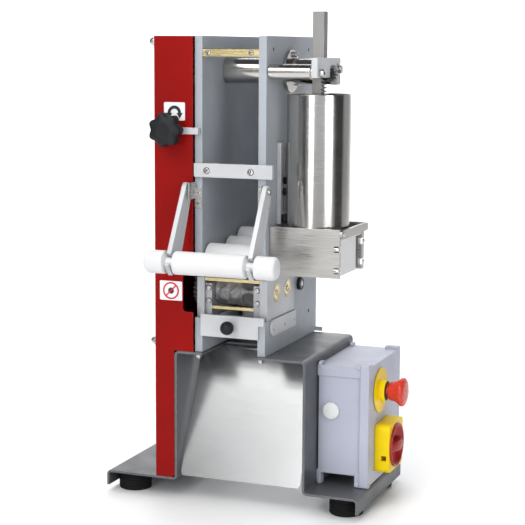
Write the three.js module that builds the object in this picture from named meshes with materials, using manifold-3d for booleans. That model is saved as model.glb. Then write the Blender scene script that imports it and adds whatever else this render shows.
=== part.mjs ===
// Bench-top dough sheeter for filled pasta: a bent steel stand carries two upright plates, dough runs
// down between them over plastic rollers into a pair of mould drums, and a rack-driven piston presses
// filling out of a steel cylinder on the right. Millimetres, +Z up.
// Inside the machine group X = 0 lies midway between the stand's legs, Y = 0 is the stand's front edge
// and Z = 0 is the bench; the group is then shifted so that the origin is the middle of the footprint.
import * as THREE from "three";
import { mergeVertices } from "three/addons/utils/BufferGeometryUtils.js";
import Module from "manifold-3d";

const wasm = await Module();
wasm.setup();

// ---- Driving dimensions ----
const GAP = 0.3; // clearance left where two pieces rest on each other

// Stand: a hat-shaped bent sheet with a turned-down lip on each side
const STAND_DEPTH = 200;
const SHEET = 3;
const LIP_BOTTOM = 9;
const FLANGE_TOP = 30;
const STAND_TOP = 205;
const LEG_X = 92.6;
const LEFT_LIP_X = -195;
const RIGHT_LIP_X = 166;
const BEND_RADIUS = 4.5; // to the middle of the sheet
const OUTLET_REAR = 84;

// Upright plates and what lies between them
const CHANNEL_X = -15.4;
const CHANNEL_WIDTH = 78.6;
const PLATE = 10.4;
const PLATE_FRONT = 6;
const PLATE_REAR = 205.7;
const PLATE_BOTTOM = STAND_TOP + GAP;
const PLATE_TOP = 620.4;
const LEFT_IN = CHANNEL_X - CHANNEL_WIDTH / 2;
const RIGHT_IN = CHANNEL_X + CHANNEL_WIDTH / 2;
const LEFT_OUT = LEFT_IN - PLATE;
const RIGHT_OUT = RIGHT_IN + PLATE;
const BACK_PANEL = 1.5;

// Mould cassette
const DRUM_Z = 284.5;
const FRONT_DRUM_Y = 49;
const DRUM_PITCH = 40;
const DRUM_RADIUS = 19.7;
const JOURNAL = 8;
const CHEEK_FRONT = 12.9;
const CHEEK_REAR = 115.3;
const CHEEK_BOTTOM = 251.6;
const CHEEK_TOP = 306;
const POCKET_ROWS = 5;
const POCKET_DEPTH = 4.5;
const POCKET_PITCH = 18.8;
const POCKET_TURN = 0.85; // brings a right-hand pocket to the window
const BLOCK_LEFT_X = -47;
const BLOCK_RIGHT_X = 12.6;

// Gears in the cover: module 2
const GEAR_MODULE = 2;
const DRUM_TEETH = 20;
const DRIVE_TEETH = 24;
const GEAR_X0 = -78;
const GEAR_X1 = -68;
const DRIVE_Y = FRONT_DRUM_Y + DRUM_PITCH + (GEAR_MODULE * (DRUM_TEETH + DRIVE_TEETH)) / 2;
const DRIVE_SHAFT = 6;

// Feed rollers: [Y, Z] of each axis
const ROLLER_RADIUS = 18.5;
const ROLLER_SHAFT = 5;
const ROLLERS = {
  front: [27, 330.5],
  middle: [96, 332.1],
  rear: [138, 340.5],
};

// Gear cover
const COVER_LEFT = -120.5;
const COVER_RIGHT = LEFT_OUT - 0.4;
const COVER_TOP = 620;
const COVER_SHEET = 1.5;
const STUD_Y = [16, 184];
const STUD_Z = [213.7, 613];

// Adjuster knob on the cover
const KNOB_X = -94.4;
const KNOB_Z = 499.5;
const KNOB_RADIUS = 20.8;
const KNOB_LOBES = 7;

// Swinging arms and the rolling pin they carry
const ARM_PIVOT = [-9, 423.5];
const PIN_CENTRE = [-58, 333];
const PIN_RADIUS = 15;
const PIN_NECK = 6.4;
const PIN_LEFT = -104.7;
const PIN_RIGHT = 75.5;
const ARM_THICKNESS = 6;
const LEFT_ARM_X = -70.7;
const RIGHT_ARM_X = 40.7;

// Filling unit
const FILL_X = 85;
const FILL_Y = 66;
const CYLINDER_RADIUS = 42;
const CYLINDER_WALL = 1.4;
const CYLINDER_BOTTOM = 359.4;
const CYLINDER_TOP = 546.6;
const BRACKET_LEFT = RIGHT_OUT + GAP;
const BRACKET_RIGHT = 130.8;
const BRACKET_BOTTOM = 313;
const BRACKET_TOP = 376;
const BRACKET_FRONT = 18.5;
const BRACKET_INNER_FRONT = 23.5;
const BRACKET_INNER_REAR = 113;
const BRACKET_REAR = 123;
const NOZZLE = [62, 330];
const HEAD_Z = 575;
const TUBE_Y = 91;
const TUBE_RADIUS = 17;
const ROD_Y = 18;
const HEAD_X = 94;
const HEAD_THICKNESS = 8;

// Rack and pinion: module 1.5
const RACK_MODULE = 1.5;
const PINION_TEETH = 10;
const PINION_Z = 571;
const RACK_TIP_X = 92.8;
const RACK_BACK_X = 77.3;
const RACK_FRONT = 59;
const RACK_REAR = 73;
const RACK_BOTTOM = 374;
const RACK_TOP = 652;
const RACK_TEETH_TOP = PINION_Z + 6;
const PINION_X = RACK_TIP_X - RACK_MODULE + (RACK_MODULE * PINION_TEETH) / 2;

// Switch box on the right flange
const BOX_LEFT = LEG_X + 0.4;
const BOX_SPLIT = 152;
const LID_FACE = 164.5;
const BOX_FRONT = 48;
const BOX_REAR = 191;
const BOX_BOTTOM = 34;
const BOX_TOP = 192;
const BOX_WALL = 3;
const STOP_CENTRE = [96, 154];
const STOP_TIP = 201;
const SWITCH_CENTRE = [107, 78.5];
const GLAND_CENTRE = [122, 80];

// Facets round a full turn
const FINE = 48;
const MEDIUM = 28;
const COARSE = 16;

// ---- Solids ----

// A closed geometry as a solid with its faces pointing out.
function solidOf(geometry) {
  const loose = geometry.index ? geometry.toNonIndexed() : geometry;
  const bare = new THREE.BufferGeometry();
  bare.setAttribute("position", loose.getAttribute("position"));
  const merged = mergeVertices(bare, 1e-3);
  const index = merged.index.array;
  const outward = [];
  const inward = [];
  for (let i = 0; i < index.length; i += 3) {
    const [a, b, c] = [index[i], index[i + 1], index[i + 2]];
    if (a === b || b === c || c === a) continue;
    outward.push(a, b, c);
    inward.push(a, c, b);
  }
  const build = (order) =>
    new wasm.Manifold(
      new wasm.Mesh({
        numProp: 3,
        vertProperties: merged.attributes.position.array,
        triVerts: new Uint32Array(order),
      }),
    );
  const solid = build(outward);
  return solid.volume() > 0 ? solid : build(inward);
}

function box(x0, x1, y0, y1, z0, z1) {
  const geometry = new THREE.BoxGeometry(x1 - x0, y1 - y0, z1 - z0);
  geometry.translate((x0 + x1) / 2, (y0 + y1) / 2, (z0 + z1) / 2);
  return solidOf(geometry);
}

// An outline extruded along an axis. The outline's two coordinates are the other two axes, in the
// order (Y, Z) for x, (X, Z) for y and (X, Y) for z.
function prism(axis, outline, from, to) {
  const shape = outline instanceof THREE.Shape ? outline : new THREE.Shape(toPoints(outline));
  const geometry = new THREE.ExtrudeGeometry(shape, {
    depth: to - from,
    bevelEnabled: false,
    curveSegments: 6,
  });
  const turn = new THREE.Matrix4();
  const [X, Y, Z] = [new THREE.Vector3(1, 0, 0), new THREE.Vector3(0, 1, 0), new THREE.Vector3(0, 0, 1)];
  if (axis === "y") {
    geometry.translate(0, 0, -to);
    turn.makeBasis(X, Z, Y.clone().negate());
  } else {
    geometry.translate(0, 0, from);
    if (axis === "x") turn.makeBasis(Y, Z, X);
  }
  geometry.applyMatrix4(turn);
  return solidOf(geometry);
}

function toPoints(pairs) {
  return pairs.map(([u, v]) => new THREE.Vector2(u, v));
}

// A profile of [radius, place along the axis] turned about a line parallel to an axis. The line's
// two other coordinates are given in the order (Y, Z) for x, (X, Z) for y and (X, Y) for z.
function turned(axis, profile, [a, b], segments = MEDIUM) {
  const geometry = new THREE.LatheGeometry(toPoints(profile), segments);
  if (axis === "x") geometry.rotateZ(-Math.PI / 2).translate(0, a, b);
  if (axis === "y") geometry.translate(a, 0, b);
  if (axis === "z") geometry.rotateX(Math.PI / 2).translate(a, b, 0);
  return solidOf(geometry);
}

function rod(axis, radius, from, to, centre, segments = MEDIUM) {
  return turned(axis, [[0, from], [radius, from], [radius, to], [0, to]], centre, segments);
}

function pipe(axis, outer, inner, from, to, centre, segments = MEDIUM) {
  const profile = [[inner, from], [outer, from], [outer, to], [inner, to], [inner, from]];
  return turned(axis, profile, centre, segments);
}

function joined(first, ...rest) {
  return rest.reduce((sum, solid) => sum.add(solid), first);
}

function cut(body, ...tools) {
  return tools.reduce((left, tool) => left.subtract(tool), body);
}

function roundedRectangle(u0, u1, v0, v1, radius) {
  const shape = new THREE.Shape();
  shape.moveTo(u0 + radius, v0);
  shape.absarc(u1 - radius, v0 + radius, radius, -Math.PI / 2, 0, false);
  shape.absarc(u1 - radius, v1 - radius, radius, 0, Math.PI / 2, false);
  shape.absarc(u0 + radius, v1 - radius, radius, Math.PI / 2, Math.PI, false);
  shape.absarc(u0 + radius, v0 + radius, radius, Math.PI, 1.5 * Math.PI, false);
  return shape;
}

// The outline of a sheet of constant thickness bent along a line of corners, each with one radius.
function bentSheet(corners, thickness, radius) {
  const points = toPoints(corners);
  const line = [{ at: points[0], way: points[1].clone().sub(points[0]).normalize() }];
  for (let i = 1; i < points.length - 1; i++) {
    const into = points[i].clone().sub(points[i - 1]).normalize();
    const out = points[i + 1].clone().sub(points[i]).normalize();
    const angle = Math.atan2(into.cross(out), into.dot(out));
    const side = Math.sign(angle);
    const start = points[i].clone().addScaledVector(into, -radius * Math.tan(Math.abs(angle) / 2));
    const centre = start.clone().add(new THREE.Vector2(-into.y, into.x).multiplyScalar(side * radius));
    const steps = Math.max(3, Math.round(Math.abs(angle) / 0.35));
    for (let k = 0; k <= steps; k++) {
      const turn = (angle * k) / steps;
      line.push({
        at: start.clone().rotateAround(centre, turn),
        way: into.clone().rotateAround(new THREE.Vector2(), turn),
      });
    }
  }
  const last = points.length - 1;
  line.push({ at: points[last], way: points[last].clone().sub(points[last - 1]).normalize() });
  const offset = ({ at, way }, distance) => [at.x - way.y * distance, at.y + way.x * distance];
  const left = line.map((step) => offset(step, thickness / 2));
  const right = line.map((step) => offset(step, -thickness / 2));
  return [...left, ...right.reverse()];
}

// A straight-sided gear outline about the origin. The first tooth points along the first coordinate
// turned by phase, and the teeth are thinned for backlash.
function gearOutline(teeth, module, phase = 0) {
  const pitch = (module * teeth) / 2;
  const root = pitch - 1.25 * module;
  const tip = pitch + 0.93 * module;
  const half = Math.PI / teeth;
  const outline = [];
  for (let i = 0; i < teeth; i++) {
    const middle = phase + 2 * half * i;
    const corners = [[root, -0.58], [tip, -0.2], [tip, 0.2], [root, 0.58]];
    corners.forEach(([r, share]) => {
      const angle = middle + share * half;
      outline.push([r * Math.cos(angle), r * Math.sin(angle)]);
    });
  }
  return outline;
}

// ---- Materials ----
function paint(color, roughness = 0.5, metalness = 0) {
  return new THREE.MeshStandardMaterial({ color, roughness, metalness });
}
const STAND_GREY = paint(0x74787d, 0.45, 0.5);
const LIGHT_GREY = paint(0xb4bac2, 0.5);
const COVER_RED = paint(0x9a0d0a, 0.4);
const CAST = paint(0x8d9299, 0.5, 0.7);
const ZINC = paint(0xa3a3a3, 0.35, 0.9);
const STEEL = paint(0xc4c4c4, 0.2, 1);
const BRUSHED = paint(0xa8a6a4, 0.35, 1);
const BRASS = paint(0xd7c070, 0.3, 1);
const WHITE = paint(0xf2f2f4, 0.45);
const BLACK = paint(0x222326, 0.55);
const RUBBER = paint(0x1c1c1e, 0.85);
const BOX_GREY = paint(0xb2b6c8, 0.5);
const YELLOW = paint(0xf4d800, 0.4);
const RED = paint(0xd13a2c, 0.4);

// A named mesh made from a solid.
function piece(name, solid, material) {
  const { vertProperties, triVerts } = solid.getMesh();
  const geometry = new THREE.BufferGeometry();
  geometry.setAttribute("position", new THREE.BufferAttribute(vertProperties, 3));
  geometry.setIndex(new THREE.BufferAttribute(triVerts, 1));
  geometry.computeVertexNormals();
  const mesh = new THREE.Mesh(geometry, material);
  mesh.name = name;
  return mesh;
}

function groupOf(...meshes) {
  return new THREE.Group().add(...meshes.flat());
}

// ---- Base: stand, feet and chute ----
function stand() {
  const half = SHEET / 2;
  const flange = FLANGE_TOP - half;
  const top = STAND_TOP - half;
  const corners = [
    [LEFT_LIP_X + half, LIP_BOTTOM],
    [LEFT_LIP_X + half, flange],
    [-LEG_X + half, flange],
    [-LEG_X + half, top],
    [LEG_X - half, top],
    [LEG_X - half, flange],
    [RIGHT_LIP_X - half, flange],
    [RIGHT_LIP_X - half, LIP_BOTTOM],
  ];
  const sheet = prism("y", bentSheet(corners, SHEET, BEND_RADIUS), 0, STAND_DEPTH);
  const outlet = prism(
    "z",
    roundedRectangle(LEFT_IN + 2, RIGHT_IN - 2, -20, OUTLET_REAR, 6),
    STAND_TOP - 2 * SHEET,
    STAND_TOP + 1,
  );
  return piece("stand", cut(sheet, outlet), STAND_GREY);
}

function feet() {
  const height = FLANGE_TOP - SHEET - GAP;
  const profile = [[0, 0], [20.5, 0], [22.5, 2], [22.5, height - 4], [20, height], [0, height]];
  const places = [[-168, 34], [140, 34], [-168, 166], [140, 166]];
  return places.map(([x, y], i) => {
    const foot = piece(`foot_${i + 1}`, turned("z", profile, [0, 0], 24), RUBBER);
    foot.position.set(x, y, 0);
    return foot;
  });
}

function chute() {
  const thickness = 1.5;
  const under = STAND_TOP - SHEET - GAP - thickness / 2;
  const outline = bentSheet([[2, 34.5], [77.5, under], [100, under]], thickness, 4);
  const sheet = prism("x", outline, -85, 86);
  const corners = prism("y", roundedRectangle(-85, 86, 34, 260, 7), -5, 110);
  return piece("chute", sheet.intersect(corners), STEEL);
}

// ---- Upright frame ----
function plateBlank(from, to) {
  const notchTop = CHEEK_TOP + 3.3;
  const notchBottom = CHEEK_BOTTOM - GAP;
  const notchRear = CHEEK_REAR + 0.7;
  const outline = [
    [PLATE_FRONT, PLATE_BOTTOM],
    [PLATE_REAR, PLATE_BOTTOM],
    [PLATE_REAR, PLATE_TOP],
    [PLATE_FRONT, PLATE_TOP],
    [PLATE_FRONT, notchTop],
    [notchRear, notchTop],
    [notchRear, notchBottom],
    [PLATE_FRONT, notchBottom],
  ];
  const bores = Object.values(ROLLERS).map((at) => rod("x", ROLLER_SHAFT + 0.3, from - 1, to + 1, at, 24));
  const tube = rod("x", TUBE_RADIUS + 0.4, from - 1, to + 1, [TUBE_Y, HEAD_Z], MEDIUM);
  const drive = rod("x", DRIVE_SHAFT + 0.4, from - 1, to + 1, [DRIVE_Y, DRUM_Z], 24);
  return cut(prism("x", outline, from, to), tube, drive, ...bores);
}

function sidePlates() {
  const left = plateBlank(LEFT_OUT, LEFT_IN);
  const tapped = [[31.7, 603.2], [165.3, 603], [175.3, 239.4]];
  const screwHoles = tapped.map((at) => rod("x", 2.9, RIGHT_OUT - 5, RIGHT_OUT + 1, at, 12));
  const nozzleHole = rod("x", 9.6, RIGHT_IN - 1, RIGHT_OUT + 1, NOZZLE, 24);
  const right = cut(plateBlank(RIGHT_IN, RIGHT_OUT), nozzleHole, ...screwHoles);
  return [piece("left_side_plate", left, LIGHT_GREY), piece("right_side_plate", right, LIGHT_GREY)];
}

function backPanel() {
  const from = PLATE_REAR + GAP;
  const sheet = box(LEFT_OUT, RIGHT_OUT, from, from + BACK_PANEL, PLATE_BOTTOM, PLATE_TOP - 1);
  const tab = box(RIGHT_OUT - 1, RIGHT_OUT + 10, from, from + BACK_PANEL, PLATE_BOTTOM, PLATE_BOTTOM + 6);
  return piece("back_panel", joined(sheet, tab), LIGHT_GREY);
}

function crossBar() {
  const outline = roundedRectangle(-64, 45.3, 438.5, 456.4, 1.5);
  return piece("cross_bar", prism("y", outline, 0, PLATE_FRONT - GAP), LIGHT_GREY);
}

function brassGuideBar() {
  const outline = [[6, 594], [30, 594], [30, 600], [26, 603.5], [6.8, 603.5], [6, 602.7]];
  return piece("brass_guide_bar", prism("x", outline, LEFT_IN + GAP, RIGHT_IN - GAP), BRASS);
}

// ---- Gear cover with its studs and the adjuster ----
function gearCover() {
  const bottom = FLANGE_TOP + GAP;
  const ledge = STAND_TOP + 0.6;
  const outline = [
    [COVER_LEFT, bottom],
    [-LEG_X - 4.6, bottom],
    [-LEG_X - 0.6, bottom + 4],
    [-LEG_X - 0.6, ledge],
    [COVER_RIGHT, ledge],
    [COVER_RIGHT, COVER_TOP],
    [COVER_LEFT, COVER_TOP],
  ];
  const s = COVER_SHEET;
  const inside = box(COVER_LEFT + s, 0, s, STAND_DEPTH - s, bottom + s, COVER_TOP - s);
  const notch = prism("y", roundedRectangle(-80, -50, 259, 309, 4), -1, 2 * s);
  const spindle = rod("y", 4.5, -1, 2 * s, [KNOB_X, KNOB_Z], COARSE);
  const studs = STUD_Y.flatMap((y) =>
    STUD_Z.map((z) => rod("x", 2.8, COVER_LEFT - 1, COVER_LEFT + 2 * s, [y, z], 12)),
  );
  const shell = cut(prism("y", outline, 0, STAND_DEPTH), inside, notch, spindle, ...studs);
  return piece("gear_cover", shell, COVER_RED);
}

function coverStuds() {
  const seat = COVER_LEFT - GAP;
  const profile = [
    [0, seat - 13.5],
    [3.2, seat - 12.8],
    [5, seat - 10.5],
    [5.8, seat - 7.5],
    [5.8, seat - 1.5],
    [7, seat - 1.5],
    [7, seat],
    [2.3, seat],
    [2.3, LEFT_OUT - GAP],
    [0, LEFT_OUT - GAP],
  ];
  const places = STUD_Y.flatMap((y) => STUD_Z.map((z) => [y, z]));
  return places.map(([y, z], i) => {
    const stud = piece(`cover_stud_${i + 1}`, turned("x", profile, [0, 0], 12), ZINC);
    stud.position.set(0, y, z);
    return stud;
  });
}

function adjusterPointer() {
  const finger = box(-86, -57, -2.5, -0.4, KNOB_Z - 5.8, KNOB_Z + 2.8);
  const root = box(LEFT_OUT, -57, -1, PLATE_FRONT - GAP, KNOB_Z - 5.8, KNOB_Z + 2.8);
  return piece("adjuster_pointer", joined(finger, root), LIGHT_GREY);
}

function adjusterKnob() {
  const lobes = [];
  const steps = KNOB_LOBES * 8;
  for (let i = 0; i < steps; i++) {
    const angle = (2 * Math.PI * i) / steps;
    const r = KNOB_RADIUS + 1.9 * Math.cos(KNOB_LOBES * angle);
    lobes.push([r * Math.cos(angle), r * Math.sin(angle)]);
  }
  const grip = prism("y", lobes, -29, -13);
  const crown = turned("y", [[0, -32], [12, -31], [17, -28.9], [0, -28.9]], [0, 0], 24);
  const hub = turned("y", [[0, -13.1], [12, -13.1], [9.5, -4], [0, -4]], [0, 0], 24);
  const spindle = rod("y", 3.8, -5, 60, [0, 0], COARSE);
  const knob = piece("adjuster_knob", joined(grip, crown, hub, spindle), BLACK);
  knob.position.set(KNOB_X, 0, KNOB_Z);
  return knob;
}

// ---- Swinging arms with the loose rolling pin ----
// side is -1 for the left arm and +1 for the right one.
function hingeBracket(name, side, plateIn, armX) {
  const plateOut = plateIn + side * PLATE;
  const earOut = side < 0 ? plateOut + GAP : armX - ARM_THICKNESS / 2 - 0.9;
  const earIn = earOut - side * 2;
  const span = (a, b) => [Math.min(a, b), Math.max(a, b)];
  const bottom = 397;
  const flange = box(...span(plateIn, earOut), PLATE_FRONT - 2, PLATE_FRONT - GAP, bottom, bottom + 28);
  const ear = box(...span(earIn, earOut), -17, PLATE_FRONT - GAP, ARM_PIVOT[1] - 13.5, ARM_PIVOT[1] + 8);
  const armOut = armX + (side * ARM_THICKNESS) / 2;
  const armIn = armX - (side * ARM_THICKNESS) / 2;
  const pin = rod("x", 2.5, ...span(earIn, armOut + side * 2), ARM_PIVOT, COARSE);
  const head = rod("x", 4.5, ...span(armOut + side * 0.4, armOut + side * 2.4), ARM_PIVOT, COARSE);
  const spacer = rod("x", 5, ...span(earOut, armIn - side * 0.4), ARM_PIVOT, COARSE);
  return piece(name, joined(flange, ear, pin, head, spacer), ZINC);
}

function pinArm(name, x) {
  const [py, pz] = ARM_PIVOT;
  const [cy, cz] = PIN_CENTRE;
  const eye = 8.2;
  const shape = new THREE.Shape();
  shape.moveTo(py + eye, pz - 12.5);
  shape.lineTo(py + eye, pz);
  shape.absarc(py, pz, eye, 0, (149 * Math.PI) / 180, false);
  shape.lineTo(cy - 2.5, cz + 17.5);
  shape.lineTo(cy - 14, cz - 1.6);
  shape.lineTo(cy - 0.5, cz - 16.5);
  shape.lineTo(cy + 17, cz - 2);
  shape.lineTo(cy + 27, cz + 7.6);
  const seat = PIN_NECK + 0.8;
  const way = new THREE.Vector2(-0.83, 0.56).normalize();
  const across = new THREE.Vector2(-way.y, way.x);
  const slot = [
    [cy + across.x * seat, cz + across.y * seat],
    [cy + across.x * seat + way.x * 40, cz + across.y * seat + way.y * 40],
    [cy - across.x * seat + way.x * 40, cz - across.y * seat + way.y * 40],
    [cy - across.x * seat, cz - across.y * seat],
  ];
  const [x0, x1] = [x - ARM_THICKNESS / 2, x + ARM_THICKNESS / 2];
  const solid = cut(
    prism("x", shape, x0, x1),
    rod("x", seat, x0 - 1, x1 + 1, PIN_CENTRE, 24),
    prism("x", slot, x0 - 1, x1 + 1),
    rod("x", 2.8, x0 - 1, x1 + 1, ARM_PIVOT, COARSE),
    rod("x", 1.8, x0 - 1, x1 + 1, [py, pz - 21], 12),
  );
  return piece(name, solid, LIGHT_GREY);
}

function rollingPin() {
  const neck = (x) => [
    [PIN_RADIUS, x - 7.4],
    [PIN_RADIUS - 1.6, x - 6.4],
    [PIN_NECK, x - 4.6],
    [PIN_NECK, x + 4.6],
    [PIN_RADIUS - 1.6, x + 6.4],
    [PIN_RADIUS, x + 7.4],
  ];
  const profile = [
    [0, PIN_LEFT],
    [PIN_RADIUS - 4, PIN_LEFT + 0.4],
    [PIN_RADIUS - 1.2, PIN_LEFT + 2],
    [PIN_RADIUS, PIN_LEFT + 5],
    ...neck(LEFT_ARM_X),
    ...neck(RIGHT_ARM_X),
    [PIN_RADIUS, PIN_RIGHT - 5],
    [PIN_RADIUS - 1.2, PIN_RIGHT - 2],
    [PIN_RADIUS - 4, PIN_RIGHT - 0.4],
    [0, PIN_RIGHT],
  ];
  return piece("rolling_pin", turned("x", profile, PIN_CENTRE, 24), WHITE);
}

// ---- Feed rollers ----
function feedRollers() {
  return Object.entries(ROLLERS).flatMap(([place, [y, z]]) => {
    const [x0, x1] = [LEFT_IN + 1.7, RIGHT_IN - 1.9];
    const bore = ROLLER_SHAFT + 0.3;
    const profile = [
      [bore, x0],
      [ROLLER_RADIUS - 1, x0],
      [ROLLER_RADIUS, x0 + 1],
      [ROLLER_RADIUS, x1 - 1],
      [ROLLER_RADIUS - 1, x1],
      [bore, x1],
      [bore, x0],
    ];
    const sleeve = piece(`${place}_feed_roller`, turned("x", profile, [0, 0], MEDIUM), WHITE);
    const axle = rod("x", ROLLER_SHAFT, LEFT_OUT + 0.6, RIGHT_OUT - 0.6, [0, 0], 24);
    const shaft = piece(`${place}_roller_shaft`, axle, STEEL);
    [sleeve, shaft].forEach((mesh) => mesh.position.set(0, y, z));
    return [sleeve, shaft];
  });
}

// ---- Mould cassette: cheeks, drums, scrapers and the drawer front with its tray ----
const DRUM_AXES = [
  [FRONT_DRUM_Y, DRUM_Z],
  [FRONT_DRUM_Y + DRUM_PITCH, DRUM_Z],
];

function mouldCheek(name, outer, inner, blockTo) {
  const span = (a, b) => [Math.min(a, b), Math.max(a, b)];
  const [x0, x1] = span(outer, inner);
  const [b0, b1] = span(inner + Math.sign(outer - inner), blockTo);
  const plate = prism("x", roundedRectangle(CHEEK_FRONT, CHEEK_REAR, CHEEK_BOTTOM, CHEEK_TOP, 1.5), x0, x1);
  const block = box(b0, b1, 20, 112, CHEEK_BOTTOM, 296);
  const bores = DRUM_AXES.map((at) => rod("x", JOURNAL + 0.4, -70, 40, at, 24));
  const bushSeats = DRUM_AXES.map((at) => rod("x", 11.8, RIGHT_OUT - 3.3, RIGHT_OUT + 5, at, 24));
  const seats = outer > 0 ? bushSeats : [];
  return piece(name, cut(joined(plate, block), ...bores, ...seats), CAST);
}

// Each drum carries round pockets in staggered columns, and a gear at its left end. front is the drum
// nearer the operator, whose gear has a gap where the rear drum's gear has a tooth.
function mouldDrum(name, [y, z], front) {
  const [x0, x1] = [BLOCK_LEFT_X + 0.4, BLOCK_RIGHT_X - 0.4];
  const barrel = rod("x", DRUM_RADIUS, x0, x1, [0, 0], MEDIUM);
  const journal = rod("x", JOURNAL, GEAR_X1 - 1, RIGHT_OUT - 1, [0, 0], 24);
  const phase = front ? Math.PI / DRUM_TEETH : 0;
  const gear = prism("x", gearOutline(DRUM_TEETH, GEAR_MODULE, phase), GEAR_X0, GEAR_X1);
  const pockets = [];
  for (let column = -1; column <= 1; column++) {
    for (let row = 0; row < POCKET_ROWS; row++) {
      const pocket = new THREE.CylinderGeometry(9.6, 7, 6, 10);
      pocket.translate(0, DRUM_RADIUS - POCKET_DEPTH + 3, 0);
      pocket.rotateX((2 * Math.PI * (row + column / 2)) / POCKET_ROWS + POCKET_TURN);
      pocket.translate((x0 + x1) / 2 + column * POCKET_PITCH, 0, 0);
      pockets.push(solidOf(pocket));
    }
  }
  const drum = piece(name, joined(cut(barrel, ...pockets), journal, gear), CAST);
  drum.position.set(0, y, z);
  return drum;
}

function mouldFrontPanel() {
  const ear = 33.8;
  const outline = [
    [-55.5, 228],
    [26, 228],
    [26, 246],
    [ear, 246],
    [ear, 257],
    [-55.5, 257],
  ];
  const front = prism("y", outline, 2, PLATE_FRONT - 0.4);
  const trayTop = CHEEK_BOTTOM - GAP;
  const tray = box(LEFT_IN + 0.5, RIGHT_IN - 0.5, 5, 113, trayTop - 2.5, trayTop);
  const opening = box(-44, 10, 40, 98, trayTop - 4, trayTop + 1);
  return piece("mould_front_panel", joined(front, cut(tray, opening)), LIGHT_GREY);
}

function panelKnob() {
  const radius = 9;
  const centre = -11.5;
  const profile = [[0, centre - radius]];
  const steps = 8;
  for (let i = 1; i <= steps; i++) {
    const angle = -Math.PI / 2 + (Math.PI * i * 0.86) / steps;
    profile.push([radius * Math.cos(angle), centre + radius * Math.sin(angle)]);
  }
  profile.push([4, centre + radius], [4, 2 - GAP], [0, 2 - GAP]);
  return piece("panel_knob", turned("y", profile, [-12, 243.5], COARSE), BLACK);
}

function mouldParts() {
  const scraperX = [LEFT_IN + GAP, RIGHT_IN - GAP];
  const upper = prism("x", [[14, 300.5], [24, 300.5], [24, 303], [22.5, 304.5], [14, 304.5]], ...scraperX);
  const lower = box(BLOCK_LEFT_X + GAP, BLOCK_RIGHT_X - GAP, 20.5, 27, 262, 266);
  return [
    mouldCheek("left_mould_cheek", LEFT_OUT, LEFT_IN, BLOCK_LEFT_X),
    mouldCheek("right_mould_cheek", RIGHT_OUT, RIGHT_IN, BLOCK_RIGHT_X),
    mouldDrum("front_mould_drum", DRUM_AXES[0], true),
    mouldDrum("rear_mould_drum", DRUM_AXES[1], false),
    piece("upper_scraper", upper, BRASS),
    piece("lower_scraper", lower, BRASS),
    mouldFrontPanel(),
    panelKnob(),
  ];
}

function mouldGuideBar() {
  const shape = new THREE.Shape();
  const [y0, y1, z0, z1] = [23.5, 116, 229.3, 251];
  const r = 8;
  shape.moveTo(y0 + r, z0);
  shape.lineTo(y1, z0);
  shape.lineTo(y1, z1);
  shape.lineTo(y0 + r, z1);
  shape.absarc(y0 + r, z1 - r, r, Math.PI / 2, Math.PI, false);
  shape.absarc(y0 + r, z0 + r, r, Math.PI, 1.5 * Math.PI, false);
  const bar = prism("x", shape, RIGHT_OUT + GAP, RIGHT_OUT + 3);
  const holes = [32, 72.3, 109].map((y) => rod("x", 1.9, RIGHT_OUT - 1, RIGHT_OUT + 5, [y, 238], 10));
  return piece("mould_guide_bar", cut(bar, ...holes), LIGHT_GREY);
}

// ---- Drive: gearmotor and drive gear ----
function driveGear() {
  const phase = Math.PI / DRIVE_TEETH;
  const gear = prism("x", gearOutline(DRIVE_TEETH, GEAR_MODULE, phase), GEAR_X0, GEAR_X1);
  const shaft = rod("x", DRIVE_SHAFT, GEAR_X1 - 1, RIGHT_OUT + 1, [0, 0], 24);
  const cap = turned(
    "x",
    [
      [0, RIGHT_OUT + GAP], [8.8, RIGHT_OUT + GAP], [8.8, RIGHT_OUT + 3.5],
      [7.8, RIGHT_OUT + 4.5], [0, RIGHT_OUT + 4.5],
    ],
    [0, 0],
    24,
  );
  const mesh = piece("drive_gear", joined(gear, shaft, cap), CAST);
  mesh.position.set(0, DRIVE_Y, DRUM_Z);
  return mesh;
}

function gearmotor() {
  const half = 33;
  const gearbox = box(CHANNEL_X - half, CHANNEL_X + half, 119, 152, 250, 317);
  const motor = rod("y", 34, 151, 203, [CHANNEL_X, DRUM_Z - 6], MEDIUM);
  const foot = box(CHANNEL_X - 30, CHANNEL_X + 30, 124, 195, PLATE_BOTTOM, 251);
  const bore = rod("x", DRIVE_SHAFT + 0.4, CHANNEL_X - 50, CHANNEL_X + 50, [DRIVE_Y, DRUM_Z], 24);
  return piece("gearmotor", cut(joined(gearbox, motor, foot), bore), CAST);
}

// ---- Filling unit ----
function supportTube() {
  const bore = 14;
  const left = LEFT_OUT + GAP;
  const flange = RIGHT_OUT + GAP;
  const right = HEAD_X - GAP;
  const profile = [
    [bore, left],
    [TUBE_RADIUS, left],
    [TUBE_RADIUS, flange],
    [28, flange],
    [28, flange + 4],
    [TUBE_RADIUS, flange + 4],
    [TUBE_RADIUS, right],
    [bore, right],
    [bore, left],
  ];
  return piece("support_tube", turned("x", profile, [TUBE_Y, HEAD_Z], 40), STEEL);
}

function stayRod() {
  const left = RIGHT_OUT + GAP;
  const right = HEAD_X - GAP;
  const profile = [
    [0, left], [9.4, left], [10, left + 0.6],
    [10, right - 2.4], [7.5, right - 2.2], [7.5, right], [0, right],
  ];
  return piece("stay_rod", turned("x", profile, [ROD_Y, HEAD_Z], 24), STEEL);
}

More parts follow.
